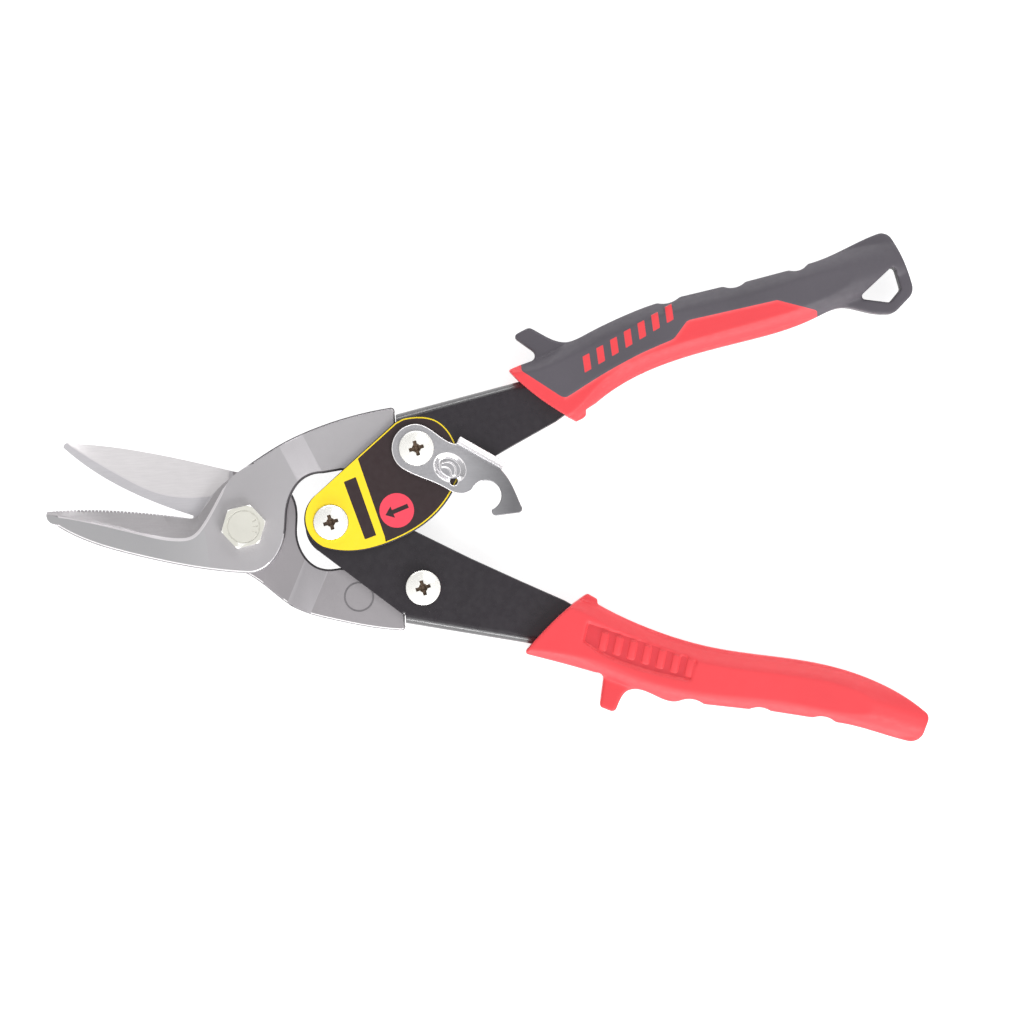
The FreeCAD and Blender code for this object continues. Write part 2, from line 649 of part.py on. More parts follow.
def lower_grip():
    body = grip_body(lower_grip_outline(), (
        (78.0, -32.6, -34, 10.2, 10.8), (97.0, -36.8, -25, 9.5, 11.0), (112.0, -44.0, -19, 8.8, 11.0),
        (130.0, -49.1, -12, 8.4, 11.0), (150.0, -52.5, -14, 8.2, 11.0), (165.0, -56.4, -18, 8.0, 11.0),
        (178.0, -61.0, -22, 7.8, 9.5), (190.0, -65.6, -22, 7.8, 7.5)))
    panel = closed_wire(
        (94.0, -30.9),
        ("line", (123.8, -43.0), (121.6, -48.7)),
        ("curve", (110.4, -45.7), (100.3, -41.7), (92.4, -36.4)),
    )
    body = body.cut(prism(panel, GRIP_HALF - PANEL_DEPTH, 20))
    ribs = []
    for k in range(7):
        x = 96.6 + 3.9 * k
        y = -38.6 - 1.42 * k
        rib = closed_wire((x, y), ("line", (x + 1.7, y - 0.6), (x + 2.9, y + 4.0), (x + 1.2, y + 4.6)))
        ribs.append(prism(rib, GRIP_HALF - PANEL_DEPTH - 0.1, GRIP_HALF - 0.2))
    body = body.fuse(Part.makeCompound(ribs)).cut(turned(handle_envelope()))
    return one_solid(body)


# ---- assembly ----
core, cover = upper_grip()
nut_low = -GRIP_HALF + 0.4
nut_high = -JAW_TOP - 0.65
insert_low = nut_low + 1.1
nut = hexagon(0, 0, BOLT_AF, insert_low, nut_high, 11).fuse(post(0, 0, 5.0, nut_low, insert_low))

nodes = {
    "front_jaw": front_jaw(),
    "rear_jaw": rear_jaw(),
    "pivot_bolt": pivot_bolt(),
    "rear_washer": ring(0, 0, 6.9, BOLT_R, nut_high, nut_high + 0.6),
    "pivot_locknut": nut.cut(post(0, 0, 4.2, insert_low - 2, insert_low)).cut(post(0, 0, BOLT_R, -20, 0)),
    "locknut_insert": ring(0, 0, 4.2, BOLT_R, nut_low + 0.1, insert_low),
    "upper_handle": upper_handle(),
    "lower_handle": lower_handle(),
    "upper_link_sleeve": upper_link_sleeve(),
    "upper_link_screw": pan_head(P1X, P1Y, HEAD_Z, -MIDDLE + GAP + 0.6),
    "lower_link_sleeve": lower_link_sleeve(),
    "lower_link_screw": pan_head(P1X, -P1Y, HEAD_Z, -OUTER - 1.2),
    "latch_keeper": ring(P1X, -P1Y, KEEPER_R, SCREW_R, MIDDLE - GAP, HEAD_Z),
    "centre_sleeve": centre_sleeve(),
    "centre_screw": pan_head(P3X, 0, OUTER, -OUTER - 1.2),
    "return_spring": return_spring(),
    "latch": latch(),
    "latch_washer": ring(P1X, P1Y, 4.3, LINK_R, OUTER, OUTER + 0.3),
    "front_label": front_label(),
    "upper_grip_core": core,
    "upper_grip_overmould": cover,
    "lower_grip": lower_grip(),
}

box = Part.makeCompound(list(nodes.values())).optimalBoundingBox(False, False)
shift = V(-(box.XMin + box.XMax) / 2, -(box.YMin + box.YMax) / 2, -box.ZMin)
os.makedirs("parts", exist_ok=True)
for name, shape in nodes.items():
    placed = shape.copy()
    placed.translate(shift)
    placed.exportStep("parts/" + name + ".step")
    print(name, len(placed.Solids), placed.isValid(), round(placed.Volume, 2))
print("shift", round(shift.x, 4), round(shift.y, 4), round(shift.z, 4))
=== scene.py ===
import json
import math

import bmesh
import bpy
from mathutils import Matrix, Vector


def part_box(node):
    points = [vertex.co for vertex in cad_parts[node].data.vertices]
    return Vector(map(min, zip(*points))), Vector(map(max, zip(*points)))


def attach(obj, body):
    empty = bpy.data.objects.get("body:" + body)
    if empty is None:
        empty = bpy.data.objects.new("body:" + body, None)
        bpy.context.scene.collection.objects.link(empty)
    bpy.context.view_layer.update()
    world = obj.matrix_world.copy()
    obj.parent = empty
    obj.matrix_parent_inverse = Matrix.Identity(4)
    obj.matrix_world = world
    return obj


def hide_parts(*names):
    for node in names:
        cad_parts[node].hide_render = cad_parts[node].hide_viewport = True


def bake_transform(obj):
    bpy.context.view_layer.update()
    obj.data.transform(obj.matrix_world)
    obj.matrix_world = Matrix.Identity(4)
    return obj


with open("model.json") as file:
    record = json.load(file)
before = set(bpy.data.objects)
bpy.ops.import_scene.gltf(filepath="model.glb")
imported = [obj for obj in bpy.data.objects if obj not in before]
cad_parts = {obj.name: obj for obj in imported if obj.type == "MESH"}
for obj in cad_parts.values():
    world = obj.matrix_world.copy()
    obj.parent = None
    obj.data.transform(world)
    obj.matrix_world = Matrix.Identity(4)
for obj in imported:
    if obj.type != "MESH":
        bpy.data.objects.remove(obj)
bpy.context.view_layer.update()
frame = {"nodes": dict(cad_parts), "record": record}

# ---- placing: millimetres from the main bolt, in the middle of the tool's thickness ----
P1 = (48.906, 19.363)       # upper link pivot
P2 = (48.906, -19.363)      # lower link pivot
P3 = (24.187, 0.0)          # centre pivot between the handles
GRIP_HALF = 10.5            # half thickness of a grip
CHEEK_TOP = 6.15            # front of the broad cheek, under the centre screw's head
HEAD_Z = 8.1                # underside of the two link screws' heads
FILM_TOP = 6.31             # face of the label

low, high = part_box("pivot_bolt")
BOLT = Vector(((low[0] + high[0]) / 2, (low[1] + high[1]) / 2, GRIP_HALF / 1000))


def at(x, y, z=0.0):
    """Point of the frame from millimetres."""
    return Vector((BOLT.x + x / 1000, BOLT.y + y / 1000, BOLT.z + z / 1000))


def in_mm(point):
    """Millimetres from a point of the frame."""
    return (point - BOLT) * 1000


def new_object(name, mesh, *materials):
    obj = bpy.data.objects.new(name, mesh)
    bpy.context.scene.collection.objects.link(obj)
    for material in materials:
        mesh.materials.append(material)
    return obj


# ---- materials ----
# noise scales, in cycles to a metre
CLOUDS = 110
BRUSH_LINES = 2400
POLISH = 2200
PEENING = 3200
DRIFT = 38
SMEARS = 600
BRUSH_STRETCH = (0.10, 1.0, 0.6)
# depths of bump relief, in metres
FINE = 0.00008
STIPPLE = 0.00006
PEEL = 0.00015


class Shader:
    """A principled material with small helpers for building its node tree."""

    def __init__(self, name, colour, roughness, metallic=0.0, **sockets):
        self.material = bpy.data.materials.new(name)
        self.material.use_nodes = True
        self.tree = self.material.node_tree
        self.bsdf = self.tree.nodes["Principled BSDF"]
        self.bsdf.inputs["Base Color"].default_value = (*colour, 1)
        self.bsdf.inputs["Roughness"].default_value = roughness
        self.bsdf.inputs["Metallic"].default_value = metallic
        self.roughness = roughness
        for key, value in sockets.items():
            self.bsdf.inputs[key.replace("_", " ")].default_value = value
        self.coords = self.tree.nodes.new("ShaderNodeTexCoord").outputs["Object"]
        self.bump_out = None

    def node(self, kind, **values):
        made = self.tree.nodes.new(kind)
        for key, value in values.items():
            setattr(made, key, value)
        return made

    def link(self, a, b):
        self.tree.links.new(a, b)

    def stretched(self, scale, angle=0.0):
        mapping = self.node("ShaderNodeMapping")
        mapping.inputs["Scale"].default_value = scale
        mapping.inputs["Rotation"].default_value = (0, 0, math.radians(angle))
        self.link(self.coords, mapping.inputs["Vector"])
        return mapping.outputs["Vector"]

    def noise(self, scale, detail=3.0, vector=None, rough=0.5):
        noise = self.node("ShaderNodeTexNoise")
        noise.inputs["Scale"].default_value = scale
        noise.inputs["Detail"].default_value = detail
        noise.inputs["Roughness"].default_value = rough
        self.link(vector or self.coords, noise.inputs["Vector"])
        return noise.outputs["Fac"]

    def remap(self, value, low_in, high_in, low_out, high_out):
        ramp = self.node("ShaderNodeMapRange")
        limits = (low_in, high_in, low_out, high_out)
        for key, number in zip(("From Min", "From Max", "To Min", "To Max"), limits):
            ramp.inputs[key].default_value = number
        self.link(value, ramp.inputs["Value"])
        return ramp.outputs["Result"]

    def mix(self, factor, a, b):
        mix = self.node("ShaderNodeMix", data_type="RGBA")
        self.link(factor, mix.inputs["Factor"])
        for slot, colour in ((6, a), (7, b)):
            mix.inputs[slot].default_value = (*colour, 1)
        return mix.outputs[2]

    def times(self, a, b):
        mix = self.node("ShaderNodeMix", data_type="RGBA", blend_type="MULTIPLY")
        mix.inputs["Factor"].default_value = 1.0
        self.link(a, mix.inputs[6])
        self.link(b, mix.inputs[7])
        return mix.outputs[2]

    def mottled(self, value, colour, share):
        """The colour, darker and lighter by a share where a noise value is low and high."""
        factor = self.remap(value, 0.3, 0.7, 0, 1)
        return self.mix(factor, shade(colour, 1 - share), shade(colour, 1 + share))

    def paint(self, colour):
        self.link(colour, self.bsdf.inputs["Base Color"])

    def vary_rough(self, value, spread):
        out = self.remap(value, 0.35, 0.65, self.roughness - spread, self.roughness + spread)
        self.link(out, self.bsdf.inputs["Roughness"])

    def bump(self, value, strength, distance):
        bump = self.node("ShaderNodeBump")
        bump.inputs["Strength"].default_value = strength
        bump.inputs["Distance"].default_value = distance
        self.link(value, bump.inputs["Height"])
        if self.bump_out:
            self.link(self.bump_out, bump.inputs["Normal"])
        self.bump_out = bump.outputs["Normal"]
        self.link(self.bump_out, self.bsdf.inputs["Normal"])


def shade(colour, factor):
    return tuple(max(0.0, min(1.0, c * factor)) for c in colour)


def satin(name, base, rough, metallic, cloud=0.03, grain=0.0, turn=0.0, fade=None):
    """Satin metal: faint cloudiness and fine lines in one direction.

    fade: first and last millimetre of a slow change of tone along the tool, and the tone that it ends at.
    """
    s = Shader(name, base, rough, metallic)
    tone = s.mottled(s.noise(CLOUDS, 5, rough=0.65), base, cloud)
    if fade:
        first, last, share = fade
        axes = s.node("ShaderNodeSeparateXYZ")
        s.link(s.coords, axes.inputs["Vector"])
        along = s.remap(axes.outputs["X"], at(first, 0).x, at(last, 0).x, 0, 1)
        tone = s.times(tone, s.mix(along, (1, 1, 1), (share,) * 3))
    lines = s.noise(BRUSH_LINES, 3, s.stretched(BRUSH_STRETCH, turn))
    if grain:
        fine = s.mix(s.remap(lines, 0.3, 0.7, 0, 1), (1 - grain,) * 3, (1 + grain,) * 3)
        tone = s.times(tone, fine)
    s.paint(tone)
    s.vary_rough(s.noise(POLISH, 4), 0.05)
    s.bump(s.noise(PEENING, 3), 0.10, FINE)
    s.bump(lines, 0.08 + grain, FINE)
    return s.material


def coated(name, base, rough, cloud, peel, peel_scale, **sockets):
    """Paint, film or moulded plastic: slight colour drift and an orange-peel or stipple surface."""
    s = Shader(name, base, rough, 0.0, **sockets)
    s.paint(s.mottled(s.noise(DRIFT, 3), base, cloud))
    s.vary_rough(s.noise(SMEARS, 4), 0.06)
    s.bump(s.noise(peel_scale, 3), peel, PEEL)
    s.bump(s.noise(peel_scale * 4, 2), peel * 0.6, STIPPLE)
    return s.material


FORGED = satin("forged_steel", (0.475, 0.46, 0.475), 0.44, 0.75, cloud=0.015)
FORGED_DARK = satin("forged_steel_dark", (0.385, 0.365, 0.38), 0.44, 0.75, cloud=0.015)
FLANK = satin("forged_flank", (0.43, 0.425, 0.435), 0.44, 0.75, cloud=0.015, fade=(-24, -10.5, 1.12))
HOLLOW = satin("hollow_steel", (0.36, 0.345, 0.355), 0.46, 0.75, cloud=0.03, grain=0.03, turn=80)
GROUND = satin("ground_steel", (0.77, 0.745, 0.755), 0.42, 0.75, cloud=0.02, grain=0.03, turn=24)
LAND = satin("land_steel", (0.63, 0.615, 0.64), 0.42, 0.80, cloud=0.02, grain=0.03, turn=30)
# painted highlight: light strip on the crease line between the finishes of both jaws, where the rounded
# ridge catches the light
RIDGE_HIGHLIGHT = satin("ridge_painted_highlight", (0.74, 0.71, 0.73), 0.40, 0.60, cloud=0.02)
# painted highlight on broken edges: the lower rims of the jaws and the arm and thumb tab of the latch
EDGE_HIGHLIGHT = satin("edge_painted_highlight", (0.92, 0.90, 0.91), 0.36, 0.50, cloud=0.02)
# painted shade on broken edges round the gap between the tails and along the upper side of the jaws
EDGE_SHADE = satin("edge_painted_shade", (0.085, 0.078, 0.085), 0.50, 0.60, cloud=0.10)
# painted light: lighter copies of the forged steels for the tail ramps, which face the light
LIT_SLOPE_STEEL = satin("forged_slope_painted_light", (0.55, 0.53, 0.55), 0.44, 0.75, cloud=0.02)
REAR_LIT_SLOPE_STEEL = satin("rear_slope_painted_light", (0.50, 0.48, 0.50), 0.44, 0.75, cloud=0.02)
# dark colour of the stamped ring on the rear jaw, also painted shade on the steep faces of the lower rims
STAMP_AND_SHADE = satin("stamped_groove_and_painted_shade", (0.22, 0.21, 0.22), 0.50, 0.60, cloud=0.05)
BRIGHT = satin("bright_plate", (0.96, 0.95, 0.91), 0.24, 0.40, cloud=0.02)
DULL = satin("dull_plate", (0.63, 0.62, 0.56), 0.46, 0.30, cloud=0.04)
# painted shadow inside the cross recesses of the screws
RECESS_SHADOW_PAINT = satin("recess_shadow", (0.16, 0.11, 0.075), 0.5, 0.55, cloud=0.30)
# the fade is painted shade: the latch darkens towards its hook end
LATCH = satin("latch_steel", (0.46, 0.455, 0.475), 0.36, 0.80, cloud=0.02, grain=0.03, turn=-36,
              fade=(62, 75, 0.45))
# glossier steel for the walls of the latch's dimple, its lighter colour a painted highlight
DIMPLE_GLOSS_HIGHLIGHT = coated("dimple_gloss_painted_highlight", (0.62, 0.61, 0.63), 0.24, 0.03, 0.02, 900, Metallic=0.92)
SPRING = satin("spring_wire", (0.34, 0.33, 0.33), 0.36, 0.8, cloud=0.15)
PAINT = coated("black_paint", (0.014, 0.010, 0.015), 0.33, 0.15, 0.05, 1500, Specular_IOR_Level=0.6)
PAINT_BEND = coated("black_paint_bend", (0.022, 0.020, 0.024), 0.34, 0.10, 0.05, 1500,
                    Specular_IOR_Level=1.0, Coat_Weight=0.6)
RED = coated("red_vinyl", (0.73, 0.044, 0.055), 0.48, 0.03, 0.10, 1100, Sheen_Weight=0.06)
RED_DEEP = coated("red_vinyl_deep", (0.62, 0.030, 0.042), 0.60, 0.05, 0.35, 2600)
BLACK = coated("black_rubber", (0.074, 0.066, 0.080), 0.56, 0.10, 0.14, 1300, Sheen_Weight=0.06)
FILM_YELLOW = coated("film_yellow", (0.90, 0.67, 0.008), 0.40, 0.03, 0.05, 1800, Coat_Weight=0.3)
FILM_BLACK = coated("film_black", (0.020, 0.006, 0.008), 0.42, 0.12, 0.05, 1800, Coat_Weight=0.2)
FILM_RED = coated("film_red", (0.82, 0.050, 0.090), 0.42, 0.03, 0.05, 1800, Coat_Weight=0.2)
NYLON = coated("nylon", (0.60, 0.62, 0.64), 0.5, 0.06, 0.06, 900)

body_of = {}
for body, members in frame["record"]["behaviour"]["bodies"].items():
    for member in members:
        body_of[member] = body


# ---- mesh helpers ----
def bent(corners, reach=1.0, steps=5):
    """Closed outline from its corners, each rounded over its own reach or the common one."""
    path = []
    for i, corner in enumerate(corners):
        here = Vector(corner[:2])
        before = Vector(corners[i - 1][:2]) - here
        after = Vector(corners[(i + 1) % len(corners)][:2]) - here
        size = min(corner[2] if len(corner) > 2 else reach, before.length * 0.48, after.length * 0.48)
        start = here + before.normalized() * size
        end = here + after.normalized() * size
        for k in range(steps + 1):
            t = k / steps
            path.append(start * (1 - t) ** 2 + here * 2 * t * (1 - t) + end * t ** 2)
    return path


def circle(x, y, radius, count=72):
    angles = [2 * math.pi * k / count for k in range(count)]
    return [(x + radius * math.cos(a), y + radius * math.sin(a)) for a in angles]


def raise_points(made, height):
    """Lift the points of an extrusion by some millimetres."""
    for item in made["geom"]:
        if isinstance(item, bmesh.types.BMVert):
            item.co.z += height / 1000


def plates(name, outlines, low, high, bevel=0.0):
    """One mesh of closed prisms over flat outlines, with broken edges when a bevel is given."""
    work = bmesh.new()
    for outline in outlines:
        ring = [work.verts.new(at(p[0], p[1], low)) for p in outline]
        made = bmesh.ops.extrude_face_region(work, geom=[work.faces.new(ring)])
        raise_points(made, high - low)
    bmesh.ops.recalc_face_normals(work, faces=work.faces)
    if bevel:
        sharp = [e for e in work.edges if e.calc_face_angle(0) > math.radians(50)]
        bmesh.ops.bevel(work, geom=sharp, offset=bevel / 1000, segments=2, profile=0.5, affect="EDGES")
    mesh = bpy.data.meshes.new(name)
    work.to_mesh(mesh)
    work.free()
    return mesh


def finished(obj, body, slot, *replaced, angle=32):
    """Smooth shading up to an angle, then the piece rides and the CAD pieces it replaces are hidden."""
    mesh = obj.data
    if "custom_normal" in mesh.attributes:
        mesh.attributes.remove(mesh.attributes["custom_normal"])
    mesh.polygons.foreach_set("use_smooth", [True] * len(mesh.polygons))
    mesh.set_sharp_from_angle(angle=math.radians(angle))
    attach(obj, body)
    if replaced:
        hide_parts(*replaced)


def applied(obj):
    """The object's mesh with its modifiers applied."""
    graph = bpy.context.evaluated_depsgraph_get()
    mesh = bpy.data.meshes.new_from_object(obj.evaluated_get(graph))
    obj.modifiers.clear()
    return mesh


# ---- forged, stamped and machined pieces ----
SHARP = math.radians(28)    # an edge that turns by more than this is broken
WELD = 0.000003             # metres within which two points are one


def refined(node, name, slot, *materials, bevel=0.2, segments=2, choose=None, skip=None, merge=0.12,
            line=None, rim=None, split=None):
    """Copy of a CAD piece with flat facets merged and its sharp edges broken.

    Lengths are in millimetres. A finish is an index into the materials.
    merge: sharp edges shorter than this are collapsed first.
    choose: gives each face its finish.
    skip: tells which edges stay as they are.
    line: width, pairs of finishes and own finish of a soft line between two finishes.
    rim: gives the faces of a broken edge their finish.
    split: place of an upright plane that ends a finish.
    """
    mesh = frame["nodes"][node].data.copy()
    mesh.materials.clear()
    work = bmesh.new()
    work.from_mesh(mesh)
    bmesh.ops.remove_doubles(work, verts=work.verts, dist=WELD)
    bmesh.ops.dissolve_limit(work, angle_limit=math.radians(0.1), verts=work.verts, edges=work.edges)
    short = [e for e in sharp_edges(work, skip) if e.calc_length() < merge / 1000]
    ends = list({v for e in short for v in e.verts})
    bmesh.ops.remove_doubles(work, verts=ends, dist=merge / 1000)
    if split:
        bmesh.ops.bisect_plane(work, geom=work.verts[:] + work.edges[:] + work.faces[:], dist=0.000001,
                               plane_co=at(split, 0), plane_no=(1, 0, 0))
    work.normal_update()
    if choose:
        for face in work.faces:
            face.material_index = choose(in_mm(face.calc_center_median()), face.normal)
    if line:
        width, pairs, finish = line
        borders = [e for e in work.edges if soft_border(e, pairs) and not (skip and skip(middle(e)))]
        for face in broken(work, borders, width, 3):
            face.material_index = finish
    made = broken(work, sharp_edges(work, skip), bevel, segments)
    work.normal_update()
    if rim:
        for face in made:
            place = in_mm(face.calc_center_median())
            face.material_index = rim(place, face.normal, face.material_index)
    work.to_mesh(mesh)
    work.free()
    obj = new_object(name, mesh, *materials)
    finished(obj, body_of[node], slot, node)
    weighted = obj.modifiers.new("weighted", "WEIGHTED_NORMAL")
    weighted.keep_sharp = True
    weighted.weight = 80


def middle(edge):
    """Middle of an edge, in millimetres."""
    return in_mm((edge.verts[0].co + edge.verts[1].co) / 2)


def soft_border(edge, pairs):
    """Line on the upper side between two of the finishes."""
    finishes = {f.material_index for f in edge.link_faces}
    return finishes in pairs and all(f.normal.z > 0.3 for f in edge.link_faces)


def sharp_edges(work, skip):
    """Sharp edges between two faces, except the ones to skip."""
    sharp = [e for e in work.edges if len(e.link_faces) == 2 and e.calc_face_angle(0) > SHARP]
    return [e for e in sharp if not (skip and skip(middle(e)))]


def broken(work, edges, width, segments):
    """Round the edges off and give back the faces made."""
    made = bmesh.ops.bevel(work, geom=edges, offset=width / 1000, offset_type="OFFSET", segments=segments,
                           profile=0.5, affect="EDGES", clamp_overlap=False, material=-1)
    return made["faces"]


def near(place, path, reach):
    """Whether a place seen from above lies within reach of a path of straight lines."""
    here = Vector((place.x, place.y))
    for start, end in zip(path, path[1:]):
        a, b = Vector(start), Vector(end)
        t = max(0.0, min(1.0, (here - a).dot(b - a) / (b - a).length_squared))
        if (here - a - (b - a) * t).length < reach:
            return True
    return False


# ---- jaws ----
# finishes of a jaw, in the order of its materials
PLAIN, CUT, FLAT, CREASE, LOWER_EDGE_LIT, SHADED, SLOPE, GROOVE_AND_SHADE = range(8)
# upward part of a face's normal, above which the face counts as hardly leaning, level or quite flat
HARDLY_LEANING = 0.9995
LEVEL = 0.9999
QUITE_FLAT = 0.99995
# front jaw, along the tool
BLADE_TIP = -54.4
BLADE_LENGTH = 39.4
BLUNT_TIP = -51.5
TEETH_END = -15
FLANK_END = -10.5
TAIL_START = 1
# its serrated edge: height at the tip, drop along the blade and how late the drop comes
EDGE_START = 6.7
EDGE_DROP = 3.6
EDGE_CURVE = 1.7
# rear jaw
LAND_START = -46
LAND_TOP = 25.5
SHEAR_END = -2.5
BLADE_ROOT = 0.5
BOSS_START = -6
BOSS_FOOT = -9
RING = (30.9, -21.0)
RING_R = 4.2
RING_FLOOR = 1.55
# gap between the tails, in which the centre pivot lies
GAP_X = (11, 42)
GAP_HALF = 16.5
THROAT = ((-16.0, 3.0), (-13.2, 3.3), (-11.8, 4.6), (-6.4, 11.1), (-2.0, 14.5), (2.5, 17.2))
LAND_LINE = ((-52.0, 28.4), (-44.3, 22.7), (-32.6, 15.0), (-24.4, 10.7), (-17.7, 9.0), (-10.0, 8.8))


def tail_finish(normal):
    """Ramp between the two levels of a tail, painted lighter as the face that turns to the light."""
    return SLOPE if 0.5 < normal.z < 0.99 else PLAIN


def ring_distance(place):
    """Distance from the middle of the stamped ring, seen from above."""
    return math.hypot(place.x - RING[0], place.y - RING[1])


def front_finish(place, normal):
    """Forged boss, hollow along the teeth and up the throat, thinned flank, ramp of the tail."""
    if place.x > TAIL_START:
        return tail_finish(normal)
    if 0.3 < normal.z < HARDLY_LEANING or (abs(normal.z) < 0.3 and normal.y > 0.2):
        return CUT
    return FLAT if HARDLY_LEANING < normal.z < QUITE_FLAT and place.x < FLANK_END else PLAIN


def rear_finish(place, normal):
    """Shear face of the rear blade: hollow ground field and the land along its edge."""
    if place.x > SHEAR_END:
        in_ring = ring_distance(place) < RING_R + 0.2 and place.z < RING_FLOOR
        return GROOVE_AND_SHADE if in_ring and normal.z > 0.9 else tail_finish(normal)
    if normal.z < 0.3:
        return PLAIN
    return FLAT if normal.z > LEVEL and place.y < LAND_TOP else CUT


def jaw_rim(place, normal, finish):
    """Painted light on the broken edges: painted highlight towards the lower side, painted shade round
    the gap and along the upper side.
    """
    if normal.z < -0.2 or finish == GROOVE_AND_SHADE:
        return finish
    if GAP_X[0] < place.x < GAP_X[1] and abs(place.y) < GAP_HALF:
        return SHADED
    # lower rims: painted highlight on their flatter faces, painted shade on their steeper ones
    if normal.y < -0.2:
        return LOWER_EDGE_LIT if normal.z > 0.85 else GROOVE_AND_SHADE
    in_shade = normal.y > 0.2 and normal.z < 0.85 and place.x > BOSS_START and place.y > 0
    return SHADED if in_shade else finish


def front_skip(place):
    """Serrations, the inner side of the throat and the blade tip stay as sharp as they are."""
    along = max(place.x - BLADE_TIP, 0) / BLADE_LENGTH
    tooth_line = EDGE_START - EDGE_DROP * along ** EDGE_CURVE
    at_teeth = place.x < TEETH_END and abs(place.y - tooth_line) < 0.8
    return place.x < BLUNT_TIP or at_teeth or near(place, THROAT, 1.1)


def rear_skip(place):
    """The stamped ring and the blade, but for the line along its land, stay as sharp as they are."""
    if ring_distance(place) < RING_R + 0.4:
        return True
    on_blade = place.x < BLADE_ROOT and place.y > BOSS_FOOT
    on_line = place.x > LAND_START and near(place, LAND_LINE, 1.2)
    return on_blade and not on_line


# Painted light on the jaws: painted highlight on the crease line and the lower rims, painted shade
# outside the lower rims, round the gap and along the upper side, and painted lighter tail ramps.
refined("front_jaw", "front_jaw_forging", "jaw_steel",
        FORGED, HOLLOW, FLANK, RIDGE_HIGHLIGHT, EDGE_HIGHLIGHT, EDGE_SHADE, LIT_SLOPE_STEEL, STAMP_AND_SHADE,
        bevel=0.62, segments=3, choose=front_finish, skip=front_skip, merge=0.25,
        line=(0.45, ({PLAIN, CUT}, {CUT, FLAT}), CREASE), rim=jaw_rim)
refined("rear_jaw", "rear_jaw_forging", "jaw_steel",
        FORGED_DARK, GROUND, LAND, RIDGE_HIGHLIGHT, EDGE_HIGHLIGHT, EDGE_SHADE, REAR_LIT_SLOPE_STEEL, STAMP_AND_SHADE,
        bevel=0.55, segments=3, choose=rear_finish, skip=rear_skip, merge=0.25,
        line=(0.20, ({CUT, FLAT},), CREASE), rim=jaw_rim, split=SHEAR_END)


# ---- handles ----
def handle_finish(place, normal):
    """Second finish on the bends, which are rubbed glossy."""
    return 1 if 0.2 < normal.z < 0.93 else 0


for node, name in (("upper_handle", "upper_channel"), ("lower_handle", "lower_channel")):
    refined(node, name, "black_paint", PAINT, PAINT_BEND, bevel=0.30, merge=0.2, choose=handle_finish)


# ---- latch ----
STRIP, DIMPLE_HIGHLIGHT, LATCH_HIGHLIGHT = range(3)
LATCH_TURN = math.radians(36.3)
DIMPLE = (10.7, 0.6)        # centre along and across the latch, from its pivot
DIMPLE_HALF = (4.8, 3.9)
DIMPLE_LEVELS = (6.8, 7.9)
TAB_START = 8.2             # level at which the thumb tab leaves the plate
ARM_END = 66.5


def latch_finish(place, normal):
    """Walls of the pressed dimple, glossier and painted lighter as a highlight, and a painted highlight
    on the top of the thumb tab.
    """
    c, s = math.cos(LATCH_TURN), math.sin(LATCH_TURN)
    x, y = place.x - P1[0], place.y - P1[1]
    u = (x * c - y * s - DIMPLE[0]) / DIMPLE_HALF[0]
    v = (x * s + y * c - DIMPLE[1]) / DIMPLE_HALF[1]
    in_dimple = u ** 2 + v ** 2 < 1 and DIMPLE_LEVELS[0] < place.z < DIMPLE_LEVELS[1]
    if in_dimple and normal.z < 0.97:
        return DIMPLE_HIGHLIGHT
    return LATCH_HIGHLIGHT if place.z > TAB_START and normal.z > 0.2 else STRIP


def latch_rim(place, normal, finish):
    """Stamped edge: painted highlight along the arm, plain on the hook."""
    return LATCH_HIGHLIGHT if finish == STRIP and normal.z > 0.1 and place.x < ARM_END else finish


refined("latch", "latch_plate", "latch_steel", LATCH, DIMPLE_GLOSS_HIGHLIGHT, EDGE_HIGHLIGHT, bevel=0.26, segments=3,
        choose=latch_finish, rim=latch_rim)


# ---- bolt, screws and small turned pieces ----
CROSS_REACH = 2.9           # half length of the cross recess, with some room
CROSS_FLOOR = (0.4, 1.3)    # levels of its floor, from the underside of the head
CROSS_WALL = 0.8
HEXAGON_TOP = 9.6
BOLT_RING_R = 4.62


def screw_finish(place, normal):
    """Painted shadow inside the cross recess."""
    for x, y, base in ((*P1, HEAD_Z), (*P2, HEAD_Z), (*P3, CHEEK_TOP)):
        up = place.z - base
        floor = CROSS_FLOOR[0] < up < CROSS_FLOOR[1]
        wall = abs(normal.z) < 0.6 and up > CROSS_WALL
        if math.hypot(place.x - x, place.y - y) < CROSS_REACH and (floor or wall):
            return 1
    return 0


def bolt_finish(place, normal):
    """Second finish on top of the bolt head, inside its pressed ring."""
    return 1 if place.z > HEXAGON_TOP and math.hypot(place.x, place.y) < BOLT_RING_R else 0


for node in ("upper_link_screw", "lower_link_screw", "centre_screw"):
    refined(node, node + "_plated", "bright_steel", BRIGHT, RECESS_SHADOW_PAINT, bevel=0.08, merge=0.05,
            choose=screw_finish)
refined("pivot_bolt", "pivot_bolt_plated", "bright_steel", BRIGHT, DULL, bevel=0.10, merge=0.05,
        choose=bolt_finish)
for node in ("rear_washer", "pivot_locknut", "upper_link_sleeve", "lower_link_sleeve",
             "centre_sleeve", "latch_keeper", "latch_washer"):
    refined(node, node + "_plated", "bright_steel", BRIGHT, bevel=0.10)
refined("locknut_insert", "locknut_ring", "nylon", NYLON, bevel=0.08)


def spring():
    """Torsion spring, a fixed copy of the CAD wire: its leg bears on the lower handle, the other end of
    the coils on the upper one.
    """
    mesh = frame["nodes"]["return_spring"].data.copy()
    mesh.materials.clear()
    mesh.polygons.foreach_set("use_smooth", [True] * len(mesh.polygons))
    obj = new_object("return_spring_wire", mesh, SPRING)
    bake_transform(obj)
    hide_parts("return_spring")


spring()


